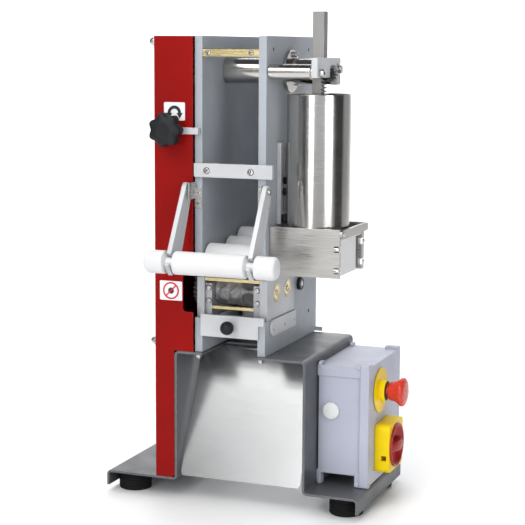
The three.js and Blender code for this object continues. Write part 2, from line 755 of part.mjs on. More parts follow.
function headPlate() {
  const [y0, y1] = [8, 100];
  const [low, high] = [568, 593];
  const shape = new THREE.Shape();
  shape.moveTo(y0, low);
  shape.lineTo(57.5, low);
  shape.absarc(63.5, 577.5, 6, Math.PI, Math.PI / 2, true);
  shape.absarc(76.5, 577.5, 6, Math.PI / 2, 0, true);
  shape.lineTo(84, 558);
  shape.lineTo(y1 - 3, 558);
  shape.lineTo(y1, 561);
  shape.absarc(y1 - 4, high - 4, 4, 0, Math.PI / 2, false);
  shape.lineTo(y0, high);
  const axle = rod("y", 2.6, 44, 94, [PINION_X, PINION_Z], COARSE);
  return piece("head_plate", cut(prism("x", shape, HEAD_X, HEAD_X + HEAD_THICKNESS), axle), LIGHT_GREY);
}

function driveShaft() {
  const bevel = turned("x", [[0, 84], [9, 84], [12.5, 88], [9, 93], [0, 93]], [0, 0], 20);
  const shaft = rod("x", 7, -103, 85, [0, 0], 24);
  const ratchet = prism("x", gearOutline(26, 2, 0), -104, -98);
  const mesh = piece("filler_drive_shaft", joined(shaft, bevel, ratchet), STEEL);
  mesh.position.set(0, TUBE_Y, HEAD_Z);
  return mesh;
}

// The pinion turns about Y beside the rack. One of its teeth points at the rack.
function rackPinion() {
  const gear = prism("y", gearOutline(PINION_TEETH, RACK_MODULE, Math.PI), RACK_FRONT + 1, RACK_REAR);
  const axle = rod("y", 2.2, 46, 92, [0, 0], COARSE);
  const mesh = piece("rack_pinion", joined(gear, axle), BLACK);
  mesh.position.set(PINION_X, 0, PINION_Z);
  return mesh;
}

// The rack's teeth face +X, and one gap lies level with the pinion's axis. The teeth end just above the
// pinion, because the piston stands at the bottom of its stroke and only goes up from there.
function rack() {
  const pitch = Math.PI * RACK_MODULE;
  const root = RACK_TIP_X - 2.3 * RACK_MODULE;
  const outline = [[RACK_BACK_X, RACK_BOTTOM], [RACK_TIP_X, RACK_BOTTOM]];
  const lowest = PINION_Z - Math.floor((PINION_Z - RACK_BOTTOM - 4) / pitch) * pitch;
  for (let z = lowest; z < RACK_TEETH_TOP; z += pitch) {
    outline.push([RACK_TIP_X, z - 1.9], [root, z - 0.95], [root, z + 0.95], [RACK_TIP_X, z + 1.9]);
  }
  outline.push([RACK_TIP_X, RACK_TOP], [RACK_BACK_X, RACK_TOP]);
  return piece("rack", prism("y", outline, RACK_FRONT, RACK_REAR), BRUSHED);
}

function piston() {
  const radius = CYLINDER_RADIUS - CYLINDER_WALL - 0.5;
  const top = RACK_BOTTOM - GAP;
  const profile = [
    [0, top - 12], [radius - 1, top - 12], [radius, top - 11],
    [radius, top - 3], [radius - 3, top], [0, top],
  ];
  return piece("piston", turned("z", profile, [FILL_X, FILL_Y], FINE), WHITE);
}

function fillingCylinder() {
  const inner = CYLINDER_RADIUS - CYLINDER_WALL;
  const wall = pipe("z", CYLINDER_RADIUS, inner, CYLINDER_BOTTOM, CYLINDER_TOP, [FILL_X, FILL_Y], FINE);
  return piece("filling_cylinder", wall, STEEL);
}

const CAP_SCREW_Z = [322.8, 350.5];

function fillerFrame() {
  const notches = CAP_SCREW_Z.map((z) => box(123.5, 140, 10, 30, z - 4, z + 4));
  const pivot = rod("x", 1.8, 125.5, 140, [21, 370], 12);
  const rearNotches = CAP_SCREW_Z.map((z) => box(126, 140, 110, 130, z - 4, z + 4));
  const plateFrom = (y0, y1) => box(BRACKET_LEFT, BRACKET_RIGHT, y0, y1, BRACKET_BOTTOM, BRACKET_TOP);
  const front = plateFrom(BRACKET_FRONT, BRACKET_INNER_FRONT);
  const rear = plateFrom(BRACKET_INNER_REAR, BRACKET_REAR);
  return [
    piece("filler_front_plate", cut(front, ...notches, pivot), BRUSHED),
    piece("filler_rear_plate", cut(rear, ...rearNotches), BRUSHED),
  ];
}

function fillerHousing() {
  const [x0, x1] = [40, 127];
  const [y0, y1] = [BRACKET_INNER_FRONT + GAP, BRACKET_INNER_REAR - GAP];
  const top = CYLINDER_BOTTOM - 0.4;
  const shape = new THREE.Shape();
  shape.moveTo(x0, y0);
  shape.lineTo(x1, y0);
  shape.absarc(x1 - 16, y1 - 16, 16, 0, Math.PI / 2, false);
  shape.lineTo(x0, y1);
  const block = prism("z", shape, BRACKET_BOTTOM + 0.8, top);
  const nozzle = rod("x", 9, -44, x0 + 1, NOZZLE, 24);
  const pocket = rod("z", 34, NOZZLE[1] + 3, top + 1, [FILL_X, FILL_Y], 40);
  const bore = rod("x", 6, -40, FILL_X, NOZZLE, COARSE);
  const outlets = [-35, -15, 5].map((x) => rod("z", 3, 315, NOZZLE[1], [x, NOZZLE[0]], 12));
  return piece("filler_housing", cut(joined(block, nozzle), pocket, bore, ...outlets), WHITE);
}

function latchBar() {
  const [x0, x1] = [BRACKET_RIGHT + 0.4, BRACKET_RIGHT + 4.4];
  const bar = prism("x", roundedRectangle(16, 126, 364.8, 375.2, 4), x0, x1);
  const pivot = rod("x", 1.4, 126.5, x0 + 1, [21, 370], 12);
  return piece("latch_bar", joined(bar, pivot), BRUSHED);
}

function slottedRail() {
  const bar = box(BRACKET_LEFT, 40, 45, 73, 376 + GAP, 483);
  const face = box(38.6, 41, 48, 70, 378, 480);
  const slot = prism("x", roundedRectangle(57.5, 63.5, 392, 476, 2.9), 30, 45);
  return piece("slotted_rail", cut(bar, face, slot), ZINC);
}

// ---- Switch box ----
// The lugs that stand out above and below the box and its lid at the corners, from x0 to x1.
function cornerLugs(x0, x1) {
  const outer = 5.5;
  const high = [BOX_TOP - 3, BOX_TOP + 4.5];
  const low = [BOX_BOTTOM - 3.4, BOX_BOTTOM + 4];
  return [BOX_FRONT + outer, BOX_REAR - outer].flatMap((y) =>
    [high, low].map(([z0, z1]) => {
      const outline = roundedRectangle(y - outer - 1, y + outer + 1, z0, z1, 2);
      return prism("x", outline, x0, x1);
    }),
  );
}

function switchBox() {
  const inset = 1.5;
  const [y0, y1] = [BOX_FRONT + inset, BOX_REAR - inset];
  const body = box(BOX_LEFT + inset, BOX_SPLIT, y0, y1, BOX_BOTTOM + 12, BOX_TOP - 10);
  const band = box(BOX_LEFT, BOX_SPLIT, BOX_FRONT, BOX_REAR, BOX_TOP - 14, BOX_TOP);
  const legs = [BOX_LEFT, BOX_SPLIT - 6].flatMap((x) =>
    [BOX_FRONT, BOX_REAR - 12].map((y) => box(x, x + 6, y, y + 12, BOX_BOTTOM, BOX_BOTTOM + 16)),
  );
  const lugs = [...cornerLugs(BOX_LEFT + 1.6, BOX_LEFT + 6), ...cornerLugs(BOX_SPLIT - 6, BOX_SPLIT)];
  const w = BOX_WALL + inset;
  const inside = box(BOX_LEFT + w, BOX_SPLIT + 1, BOX_FRONT + w, BOX_REAR - w, BOX_BOTTOM + 15, BOX_TOP - 3);
  const glandHole = rod("y", 8.4, BOX_REAR - 8, BOX_REAR + 1, GLAND_CENTRE, 24);
  return piece("switch_box", cut(joined(body, band, ...legs, ...lugs), inside, glandHole), BOX_GREY);
}

function switchBoxLid() {
  const lip = 1;
  const outline = roundedRectangle(BOX_FRONT - lip, BOX_REAR + lip, BOX_BOTTOM - lip, BOX_TOP + lip, 3);
  const shell = prism("x", outline, BOX_SPLIT + GAP, LID_FACE);
  const [y0, y1] = [BOX_FRONT + 4, BOX_REAR - 4];
  const inside = box(BOX_SPLIT - 1, LID_FACE - BOX_WALL, y0, y1, BOX_BOTTOM + 4, BOX_TOP - 4);
  const stopHole = rod("x", 11, 150, 170, STOP_CENTRE, 24);
  const switchHole = rod("x", 5.5, 150, 170, SWITCH_CENTRE, COARSE);
  const lugs = cornerLugs(BOX_SPLIT + GAP + 0.1, LID_FACE);
  return piece("switch_box_lid", cut(joined(shell, ...lugs), inside, stopHole, switchHole), BOX_GREY);
}

function stopButton() {
  const bore = 8.5;
  const seat = LID_FACE + GAP;
  const collar = [
    [bore, 155],
    [10.6, 155],
    [10.6, seat],
    [30, seat],
    [30, seat + 2],
    [14.6, seat + 2],
    [14.6, seat + 3],
    [13.6, 174.5],
    [bore, 174.5],
    [bore, 155],
  ];
  const head = [
    [0, 158],
    [8, 158],
    [8, 179],
    [12.6, 179],
    [13.4, 186],
    [16.2, 191],
    [18.8, 195],
    [19.2, 197.5],
    [17, 199.6],
    [9, STOP_TIP - 0.2],
    [0, STOP_TIP],
  ];
  return [
    piece("stop_collar", turned("x", collar, STOP_CENTRE, 24), YELLOW),
    piece("stop_button", turned("x", head, STOP_CENTRE, 24), RED),
  ];
}

function mainSwitch() {
  const [y, z] = SWITCH_CENTRE;
  const seat = LID_FACE + GAP;
  const block = prism("x", roundedRectangle(y - 32, y + 32, z - 32.5, z + 32.5, 7), seat, 185);
  const dish = rod("x", 29.5, 176.5, 190, [y, z], MEDIUM);
  const hole = rod("x", 5.2, 160, 190, [y, z], COARSE);
  const lockSlot = box(174, 181, y - 40, y - 20, z - 16, z - 9);
  const cup = [[0, 177], [28.5, 177], [29.2, 187.5], [27, 188], [25, 182], [20, 179.8], [0, 179.5]];
  const dial = turned("x", cup, [y, z], MEDIUM);
  const gripOutline = [
    [179, y - 24], [184, y - 23.5], [189, y - 18], [193, y],
    [189, y + 18], [184, y + 23.5], [179, y + 24],
  ];
  const grip = prism("z", gripOutline, z - 5.5, z + 5.5);
  const shaft = rod("x", 4.8, 158, 178, [y, z], COARSE);
  return [
    piece("main_switch_base", cut(block, dish, hole, lockSlot), YELLOW),
    piece("main_switch_handle", joined(dial, grip, shaft), RED),
  ];
}

function cableGland() {
  const rear = BOX_REAR - 1.5 + GAP;
  const profile = [
    [4, rear - 8],
    [8, rear - 8],
    [8, rear],
    [12, rear],
    [12, rear + 6],
    [9, rear + 14],
    [4, rear + 14],
    [4, rear - 8],
  ];
  return piece("cable_gland", turned("y", profile, GLAND_CENTRE, 24), BLACK);
}

// ---- Assembly ----
const base = groupOf(stand(), feet(), chute());
const frame = groupOf(sidePlates(), backPanel(), crossBar(), brassGuideBar(), mouldGuideBar());
const cover = groupOf(gearCover(), coverStuds(), adjusterPointer(), adjusterKnob());
const pinUnit = groupOf(
  hingeBracket("left_hinge_bracket", -1, LEFT_IN - GAP, LEFT_ARM_X),
  hingeBracket("right_hinge_bracket", 1, RIGHT_IN + GAP, RIGHT_ARM_X),
  pinArm("left_pin_arm", LEFT_ARM_X),
  pinArm("right_pin_arm", RIGHT_ARM_X),
  rollingPin(),
);
const rollers = groupOf(feedRollers());
const mould = groupOf(mouldParts());
const drive = groupOf(driveGear(), gearmotor());
const filler = groupOf(
  supportTube(),
  stayRod(),
  headPlate(),
  driveShaft(),
  rackPinion(),
  rack(),
  piston(),
  fillingCylinder(),
  fillerFrame(),
  fillerHousing(),
  latchBar(),
  slottedRail(),
);
const controls = groupOf(switchBox(), switchBoxLid(), stopButton(), mainSwitch(), cableGland());

const machine = new THREE.Group().add(base, frame, cover, pinUnit, rollers, mould, drive, filler, controls);
const pinFront = PIN_CENTRE[0] - PIN_RADIUS;
const panelRear = PLATE_REAR + GAP + BACK_PANEL;
machine.position.set(-(LEFT_LIP_X + STOP_TIP) / 2, -(pinFront + panelRear) / 2, 0);
const doughSheeter = new THREE.Group().add(machine);

export default doughSheeter;
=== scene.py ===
"""Looks of a bench-top dough sheeter for filled pasta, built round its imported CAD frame.

Lengths in the calls below are millimetres in the machine's own axes: X = 0 midway between the stand's
legs, Y = 0 at the stand's front edge, Z = 0 on the bench. Everything is moved to the row frame in metres.
"""
import math

import bmesh
import bpy
from mathutils import Matrix, Vector


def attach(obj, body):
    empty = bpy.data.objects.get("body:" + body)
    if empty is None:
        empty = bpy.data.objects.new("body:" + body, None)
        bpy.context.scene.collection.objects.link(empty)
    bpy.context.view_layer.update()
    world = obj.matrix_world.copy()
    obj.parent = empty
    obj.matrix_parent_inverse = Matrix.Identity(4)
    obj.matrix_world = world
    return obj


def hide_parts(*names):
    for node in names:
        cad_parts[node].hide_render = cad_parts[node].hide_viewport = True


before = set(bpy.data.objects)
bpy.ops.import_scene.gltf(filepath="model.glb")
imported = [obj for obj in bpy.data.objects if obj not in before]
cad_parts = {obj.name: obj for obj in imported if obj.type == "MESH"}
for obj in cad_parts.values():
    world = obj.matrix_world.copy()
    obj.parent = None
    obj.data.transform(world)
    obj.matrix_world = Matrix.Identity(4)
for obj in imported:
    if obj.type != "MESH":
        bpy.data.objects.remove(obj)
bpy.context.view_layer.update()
SHIFT = Vector((-3.0, -67.25, 0.0))
MM = 0.001
TURN = 2 * math.pi


def place(x, y, z):
    return (Vector((x, y, z)) + SHIFT) * MM


# ---- Node helpers for materials ----
class Nodes:
    """Short names for building one node tree."""

    def __init__(self, name):
        self.material = bpy.data.materials.new(name)
        self.material.use_nodes = True
        self.tree = self.material.node_tree
        self.shader = self.tree.nodes["Principled BSDF"]
        self.where = self.tree.nodes.new("ShaderNodeTexCoord").outputs["Object"]

    def new(self, kind, **inputs):
        node = self.tree.nodes.new("ShaderNode" + kind)
        for key, value in inputs.items():
            self.put(node, key.replace("_", " "), value)
        return node

    def put(self, node, key, value):
        socket = node.inputs[int(key) if key.isdigit() else key]
        if isinstance(value, bpy.types.NodeSocket):
            self.tree.links.new(value, socket)
        else:
            socket.default_value = value

    def math(self, kind, a, b=0.0, clamp=False):
        node = self.new("Math", **{"0": a, "1": b})
        node.operation = kind
        node.use_clamp = clamp
        return node.outputs[0]

    def noise(self, scale, stretch=(1, 1, 1), detail=3.0, roughness=0.55):
        mapping = self.new("Mapping", Vector=self.where, Scale=stretch)
        return self.new(
            "TexNoise",
            Vector=mapping.outputs[0],
            Scale=scale,
            Detail=detail,
            Roughness=roughness,
        ).outputs["Fac"]

    def spread(self, value, low, high, out_low=0.0, out_high=1.0):
        node = self.new("MapRange", Value=value)
        for key, number in zip(("From Min", "From Max", "To Min", "To Max"), (low, high, out_low, out_high)):
            node.inputs[key].default_value = number
        return node.outputs[0]

    def mix(self, factor, a, b):
        node = self.tree.nodes.new("ShaderNodeMix")
        node.data_type = "RGBA"
        for socket, value in ((node.inputs[0], factor), (node.inputs[6], a), (node.inputs[7], b)):
            if isinstance(value, bpy.types.NodeSocket):
                self.tree.links.new(value, socket)
            else:
                opaque = isinstance(value, tuple) and len(value) == 3
                socket.default_value = (*value, 1.0) if opaque else value
        return node.outputs[2]

    def edges(self, radius):
        """1 on sharp edges and 0 on flat faces, with the rounded normal for the shading."""
        bevel = self.new("Bevel", Radius=radius)
        bevel.samples = 6
        flat = self.tree.nodes.new("ShaderNodeNewGeometry").outputs["Normal"]
        dot = self.new("VectorMath", **{"0": bevel.outputs[0], "1": flat})
        dot.operation = "DOT_PRODUCT"
        return self.spread(dot.outputs["Value"], 0.995, 0.80), bevel.outputs[0]

    def bump(self, height, distance, strength, normal=None):
        node = self.new("Bump", Height=height, Distance=distance, Strength=strength)
        if normal is not None:
            self.put(node, "Normal", normal)
        return node.outputs[0]

    def finish(self, color, roughness, normal, metallic=0.0, **plain):
        self.put(self.shader, "Base Color", color)
        self.put(self.shader, "Roughness", roughness)
        self.put(self.shader, "Normal", normal)
        self.shader.inputs["Metallic"].default_value = metallic
        for key, value in plain.items():
            self.shader.inputs[key.replace("_", " ")].default_value = value
        return self.material


def painted(name, color, edge, rough=0.45, grain=2600.0, depth=0.00004, metallic=0.0, mottle=0.12,
            spec=0.35):
    """Powder coat or textured paint: fine pebble, slow colour drift, lighter rubbed edges."""
    n = Nodes(name)
    wear, rounded = n.edges(0.0009)
    drift = n.noise(9.0, detail=4.0)
    speck = n.noise(grain, detail=2.0)
    dark = tuple(c * (1 - mottle) for c in color)
    light = tuple(min(1.0, c * (1 + mottle)) for c in color)
    base = n.mix(n.spread(drift, 0.3, 0.7), dark, light)
    base = n.mix(n.spread(speck, 0.42, 0.62, 0.0, 0.35), base, tuple(c * 0.72 for c in color))
    scuff = n.math("MULTIPLY", wear, n.spread(n.noise(160.0, detail=4.0), 0.42, 0.62, 0.1, 0.8), True)
    base = n.mix(scuff, base, edge)
    smudge = n.spread(n.noise(28.0, detail=5.0), 0.3, 0.7, rough - 0.07, rough + 0.09)
    texture = n.bump(speck, depth, 0.55, rounded)
    return n.finish(base, smudge, texture, metallic, Specular_IOR_Level=spec)


def metal(name, color, rough=0.25, stretch=(1, 1, 1), lines=900.0, depth=0.00002, dark=0.8, edge=0.0006,
          vary=1.0):
    """Bare metal with grain drawn out along an axis, small stains and bright edges."""
    n = Nodes(name)
    wear, rounded = n.edges(edge)
    grain = n.noise(lines, stretch, detail=4.0, roughness=0.65)
    stain = n.noise(22.0, detail=5.0)
    base = n.mix(n.spread(grain, 0.35, 0.65), tuple(c * dark for c in color), color)
    base = n.mix(n.spread(stain, 0.5, 0.8, 0.0, 0.25), base, tuple(c * 0.8 for c in color))
    base = n.mix(wear, base, tuple(min(1.0, c * 1.15) for c in color))
    streak = n.spread(grain, 0.3, 0.7, rough - 0.06 * vary, rough + 0.1 * vary)
    both = n.math("ADD", streak, n.spread(stain, 0.35, 0.75, -0.02 * vary, 0.05 * vary))
    return n.finish(base, both, n.bump(grain, depth, 0.4, rounded), 1.0)


def plastic(name, color, rough=0.4, grain=1800.0, depth=0.00003, edge=0.0008, soft=0.0, dirt=0.1, spec=0.5):
    """Moulded or turned plastic: fine spark-eroded texture, faint handling marks, slight translucency."""
    n = Nodes(name)
    _, rounded = n.edges(edge)
    speck = n.noise(grain, detail=2.0)
    drift = n.noise(14.0, detail=4.0)
    base = n.mix(n.spread(drift, 0.35, 0.7), color, tuple(c * (1 - dirt) for c in color))
    base = n.mix(n.spread(speck, 0.45, 0.65, 0.0, 0.2), base, tuple(c * 0.85 for c in color))
    sheen = n.spread(n.noise(40.0, detail=5.0), 0.3, 0.7, rough - 0.06, rough + 0.08)
    material = n.finish(base, sheen, n.bump(speck, depth, 0.5, rounded), Specular_IOR_Level=spec)
    if soft:
        n.shader.inputs["Subsurface Weight"].default_value = soft
        n.shader.inputs["Subsurface Radius"].default_value = (0.004, 0.004, 0.004)
    return material


def blasted(name, color, rough=0.42, grain=1500.0):
    """Bead-blasted light alloy: even sparkle, soft cloudy stains."""
    n = Nodes(name)
    wear, rounded = n.edges(0.0008)
    speck = n.noise(grain, detail=3.0, roughness=0.7)
    cloud = n.noise(18.0, detail=5.0)
    base = n.mix(n.spread(speck, 0.35, 0.65), tuple(c * 0.78 for c in color), color)
    base = n.mix(n.spread(cloud, 0.4, 0.75, 0.0, 0.4), base, tuple(c * 0.74 for c in color))
    base = n.mix(wear, base, tuple(min(1.0, c * 1.3) for c in color))
    patch = n.spread(cloud, 0.3, 0.7, rough - 0.08, rough + 0.1)
    return n.finish(base, patch, n.bump(speck, 0.00006, 0.6, rounded), 0.75)


LINES_X = (0.02, 1, 1)
LINES_Z = (1, 1, 0.02)
RINGS_X = (1, 0.03, 0.03)
RINGS_Z = (0.03, 0.03, 1)
M = {
    "stand": painted("stand_powder_coat", (0.128, 0.134, 0.142), (0.42, 0.43, 0.45), 0.40, metallic=0.45),
    "plate": painted("light_grey_texture", (0.37, 0.395, 0.43), (0.80, 0.81, 0.83),
                     0.47, 1700.0, metallic=0.15),
    "bar": painted("light_grey_bar", (0.54, 0.55, 0.565), (0.82, 0.82, 0.84), 0.42, 1900.0, metallic=0.15),
    "red": painted("red_powder_coat", (0.25, 0.002, 0.001), (0.50, 0.06, 0.045),
                   0.50, 1400.0, 0.00005, spec=0.12),
    "cylinder": metal("turned_stainless", (0.62, 0.60, 0.57), 0.14, RINGS_Z, 2200.0, 0.000006, 0.94),
    "tube": metal("turned_stainless_x", (0.62, 0.60, 0.57), 0.13, RINGS_X, 2200.0, 0.000008, 0.92),
    "sheet": metal("rolled_stainless", (0.56, 0.56, 0.56), 0.19, (0.03, 1, 1),
                   1500.0, 0.0000005, 0.95, vary=0.3),
    "brushed": metal("brushed_steel_x", (0.47, 0.455, 0.435), 0.30, LINES_X, 1500.0, 0.00003, 0.72),
    "rack": metal("brushed_steel_z", (0.30, 0.295, 0.285), 0.42, LINES_Z, 1500.0, 0.00003, 0.75),
    "zinc": metal("zinc_plate", (0.66, 0.65, 0.63), 0.24, (1, 1, 1), 600.0, 0.000004, 0.85, vary=0.5),
    "brass": metal("pale_brass", (0.80, 0.66, 0.34), 0.25, LINES_X, 1500.0, 0.00002, 0.85),
    "alloy": blasted("blasted_alloy", (0.50, 0.51, 0.53)),
    "drum": blasted("mould_drum_alloy", (0.28, 0.285, 0.295), 0.40, 1100.0),
    "white": plastic("white_food_plastic", (0.70, 0.70, 0.705), 0.45, 1200.0, 0.00002, soft=0.15, dirt=0.05),
    "black": plastic("black_moulding", (0.011, 0.012, 0.014), 0.48, 1500.0, 0.00005, spec=0.25),
    "black_steel": metal("black_screws", (0.05, 0.05, 0.055), 0.40, (1, 1, 1), 900.0, 0.00002, 0.8),
    "rubber": plastic("foot_rubber", (0.006, 0.006, 0.0065), 0.7, 900.0, 0.00008, dirt=-0.4, spec=0.15),
    "box": plastic("box_moulding", (0.43, 0.445, 0.535), 0.42, 1300.0, 0.00004, 0.0012),
    "yellow": plastic("yellow_moulding", (0.86, 0.62, 0.0),
                      0.36, 1300.0, 0.00003, 0.0012, soft=0.05, spec=0.2),
    "stop": plastic("red_mushroom", (0.60, 0.035, 0.02), 0.26, 1300.0, 0.00002, 0.001, soft=0.05),
    "dial": plastic("red_dial", (0.36, 0.010, 0.008), 0.34, 1300.0, 0.00003, 0.001),
    "label": plastic("label_film", (0.84, 0.84, 0.85), 0.30, 500.0, 0.00001, dirt=0.04),
    "label_black": plastic("label_ink", (0.02, 0.02, 0.022), 0.34, 500.0, 0.00001, dirt=0.04),
    "label_red": plastic("label_red_ink", (0.62, 0.02, 0.02), 0.34, 500.0, 0.00001, dirt=0.04),
    # Painted shade: a near-black finish for flat pieces that paint the shade in screw slots, holes, small
    # pits and the gaps round screw heads.
    "dark": plastic("painted_shade_black", (0.01, 0.01, 0.01), 0.6, 500.0, 0.00001, dirt=0.04),
}


# ---- Shape helpers ----
def add(name, vertices, faces, look, body, smooth=35.0, bevel=0.0, replaces=()):
    """A piece from machine-frame millimetres, with rounded edges, its material and its body; it hides the CAD
    parts it replaces.
    """
    bm = bmesh.new()
    made = [bm.verts.new(place(*v)) for v in vertices]
    for face in faces:
        bm.faces.new([made[i] for i in face])
    bmesh.ops.remove_doubles(bm, verts=bm.verts, dist=1e-7)
    bmesh.ops.recalc_face_normals(bm, faces=bm.faces)
    if bevel:
        limit = math.radians(smooth)
        sharp = [e for e in bm.edges if len(e.link_faces) == 2 and e.calc_face_angle(0) > limit]
        bmesh.ops.bevel(bm, geom=sharp, offset=bevel * MM, segments=3, profile=0.5, affect="EDGES",
                        clamp_overlap=True)
    mesh = bpy.data.meshes.new(name)
    bm.to_mesh(mesh)
    bm.free()
    return dress(bpy.data.objects.new(name, mesh), look, body, smooth, replaces)


def dress(piece, look, body, smooth=35.0, replaces=()):
    if piece.name not in bpy.context.scene.collection.objects:
        bpy.context.scene.collection.objects.link(piece)
    piece.data.materials.clear()
    piece.data.materials.append(M[look])
    piece.data.shade_smooth()
    piece.data.set_sharp_from_angle(angle=math.radians(smooth))
    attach(piece, body)
    if replaces:
        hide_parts(*replaces)
    return piece


def along(axis, t, a, b):
    """The point t along an axis, with its two other coordinates in the order (Y, Z), (X, Z) or (X, Y)."""
    return {"x": (t, a, b), "y": (a, t, b), "z": (a, b, t)}[axis]


def turned(name, axis, profile, centre, look, body, segments=96, shape=None, **more):
    """A profile of (radius, place along the axis) turned about a line.
    shape(angle, radius) may vary the radius."""
    a, b = centre
    vertices, faces, rings = [], [], []
    for radius, t in profile:
        if radius <= 1e-6:
            rings.append([len(vertices)])
            vertices.append(along(axis, t, a, b))
            continue
        ring = []
        for i in range(segments):
            angle = TURN * i / segments
            r = shape(angle, radius) if shape else radius
            ring.append(len(vertices))
            vertices.append(along(axis, t, a + r * math.cos(angle), b + r * math.sin(angle)))
        rings.append(ring)
    for low, high in zip(rings, rings[1:]):
        for i in range(segments):
            j = (i + 1) % segments
            if len(low) == 1 and len(high) == 1:
                continue
            if len(low) == 1:
                faces.append((low[0], high[i], high[j]))
            elif len(high) == 1:
                faces.append((low[i], low[j], high[0]))
            else:
                faces.append((low[i], low[j], high[j], high[i]))
    return add(name, vertices, faces, look, body, **more)


def prism(name, axis, outline, start, end, look, body, bevel=0.4, **more):
    """An outline drawn out along an axis, with rounded edges."""
    count = len(outline)
    vertices = [along(axis, t, a, b) for t in (start, end) for a, b in outline]
    faces = [tuple(range(count)), tuple(range(count, 2 * count))]
    faces += [(i, (i + 1) % count, count + (i + 1) % count, count + i) for i in range(count)]
    return add(name, vertices, faces, look, body, bevel=bevel, **more)


def block(name, x0, x1, y0, y1, z0, z1, look, body, bevel=0.4, **more):
    return prism(name, "z", [(x0, y0), (x1, y0), (x1, y1), (x0, y1)], z0, z1, look, body, bevel, **more)


def arc(a, b, radius, start, end, steps=8):
    return [
        (a + radius * math.cos(math.radians(start + (end - start) * i / steps)),
         b + radius * math.sin(math.radians(start + (end - start) * i / steps)))
        for i in range(steps + 1)
    ]


def rounded(a0, a1, b0, b1, r, steps=8):
    return (
        arc(a1 - r, b0 + r, r, -90, 0, steps)
        + arc(a1 - r, b1 - r, r, 0, 90, steps)
        + arc(a0 + r, b1 - r, r, 90, 180, steps)
        + arc(a0 + r, b0 + r, r, 180, 270, steps)
    )


def carve(piece, *cutters):
    """Cuts the cutters out of a piece, and removes them."""
    for cutter in cutters:
        cut = piece.modifiers.new("cut", "BOOLEAN")
        cut.operation = "DIFFERENCE"
        cut.solver = "EXACT"
        cut.object = cutter
    bpy.context.view_layer.update()
    result = bpy.data.meshes.new_from_object(piece.evaluated_get(bpy.context.evaluated_depsgraph_get()))
    piece.modifiers.clear()
    old = piece.data
    piece.data = result
    bpy.data.meshes.remove(old)
    piece.data.shade_smooth()
    piece.data.set_sharp_from_angle(angle=math.radians(32))
    for cutter in cutters:
        bpy.data.objects.remove(cutter)
    return piece


def dot(angle_deg, radius, centre):
    a = math.radians(angle_deg)
    return centre[0] + radius * math.cos(a), centre[1] + radius * math.sin(a)


# ---- Screws and nuts ----
def slotted_screw(name, axis, face, out, centre, radius, look, body, slot_angle=20.0, height=1.2):
    """A cheese-head screw on a face. out is +1 or -1, the way it stands out along the axis."""
    a, b = centre
    tip = face + out * height
    profile = [(0, face), (radius, face), (radius, tip - out * 0.4), (radius - 0.4, tip), (0, tip)]
    head = turned(name, axis, profile, centre, look, body, 40, bevel=0.08)
    c, s = math.cos(math.radians(slot_angle)), math.sin(math.radians(slot_angle))
    w, l = 0.5, radius + 1
    corners = [(-l, -w), (l, -w), (l, w), (-l, w)]
    outline = [(a + u * c - v * s, b + u * s + v * c) for u, v in corners]
    lo, hi = sorted((tip + out * 0.5, tip - out * 0.7))
    carve(head, prism(name + "_slot", axis, outline, lo, hi, look, body, bevel=0))
    floor_lo, floor_hi = sorted((tip - out * 0.72, tip - out * 0.55))
    short = [(a + u * 0.88 * c - v * s, b + u * 0.88 * s + v * c) for u, v in corners]
    if height > 0.8:
        prism(name + "_shade", axis, [(a + (p - a) * (radius - 0.3) / l, b + (q - b) * (radius - 0.3) / l)
                                      for p, q in short], floor_lo, floor_hi, "dark", body, bevel=0)
    return head


def seat(name, axis, face, out, centre, radius, body):
    """The dark shadow gap round a screw head."""
    lo, hi = sorted((face - out * 0.02, face + out * 0.12))
    profile = [(0, lo), (radius, lo), (radius, hi), (0, hi)]
    return turned(name, axis, profile, centre, "dark", body, 40)


def socket_screw(name, axis, face, out, centre, radius, look, body, height=3.0, socket=None):
    """A cap screw with a hexagon socket."""
    a, b = centre
    tip = face + out * height
    profile = [(0, face), (radius, face), (radius, tip - out * 0.5), (radius - 0.5, tip), (0, tip)]
    head = turned(name, axis, profile, centre, look, body, 40, bevel=0.08)
    hexagon = [dot(60 * i + 15, (socket or radius * 0.55), centre) for i in range(6)]
    lo, hi = sorted((tip + out * 1.0, tip - out * height * 0.6))
    return carve(head, prism(name + "_hex", axis, hexagon, lo, hi, look, body, bevel=0))


# ---- CAD nodes whose shapes are right take a finished material ----
KEPT = {
    "stand": ["stand"],
    "plate": ["left_side_plate", "right_side_plate"],
    "bar": ["back_panel", "slotted_rail", "cross_bar", "mould_guide_bar", "adjuster_pointer",
            "left_pin_arm", "right_pin_arm", "mould_front_panel", "head_plate"],
    "red": ["gear_cover"],
    "rack": ["rack"],
    "sheet": ["chute"],
    "tube": ["front_roller_shaft", "middle_roller_shaft", "rear_roller_shaft", "filler_drive_shaft"],
    "brass": ["brass_guide_bar", "upper_scraper", "lower_scraper"],
    "zinc": ["left_hinge_bracket", "right_hinge_bracket"],
    "alloy": ["left_mould_cheek", "right_mould_cheek", "drive_gear", "gearmotor"],
    "brushed": ["filler_front_plate", "filler_rear_plate", "latch_bar"],
    "black_steel": ["rack_pinion"],
    "white": ["filler_housing"],
    "box": ["switch_box", "switch_box_lid"],
    "black": ["cable_gland"],
    "drum": ["rear_mould_drum"],
    "yellow": ["main_switch_base"],
}
for look, names in KEPT.items():
    for node_name in names:
        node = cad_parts[node_name]
        node.data.materials.clear()
        node.data.materials.append(M[look])


# ---- Axes that several pieces are turned about, as the two coordinates across each axis ----
CYLINDER = (85, 66)
TUBE, TUBE_BOLT, STAY_ROD = (91, 575), (91, 578), (18, 575)
PIN = (-58, 333)
ADJUSTER = (-94.4, 499.5)
FRONT_DRUM, DRIVE_SHAFT = (49, 284.5), (133, 284.5)
STOP, SWITCH = (96, 154), (107, 78.5)

